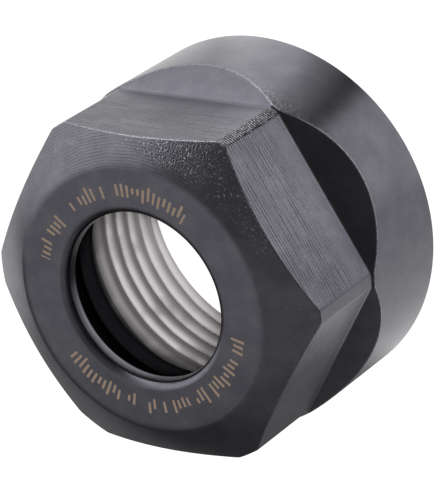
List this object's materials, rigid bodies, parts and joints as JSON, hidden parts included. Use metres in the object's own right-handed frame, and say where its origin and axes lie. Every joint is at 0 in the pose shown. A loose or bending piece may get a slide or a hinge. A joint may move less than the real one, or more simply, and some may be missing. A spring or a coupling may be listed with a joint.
{
  "type": "collet nut",
  "caption": "Hexagonal clamping nut with a round rear collar, a bevelled front, a tapered collet seat behind a rounded mouth, and an internal spindle thread.",
  "frame": {"origin": "centre of the flat rear face, where the spindle goes in; the nut stands on this face", "axes": "+Z along the turned axis towards the bevelled front face, where the cutting tool comes out; +X points at a corner of the hexagon"},
  "size_m": [0.0194, 0.0192, 0.0126],
  "materials": {
    "black_oxide_steel": "black oxide over turned and milled steel, satin; thread and seat bare"
  },
  "bodies": {
    "root": {"collet_nut": "black_oxide_steel"}
  },
  "joints": []
}
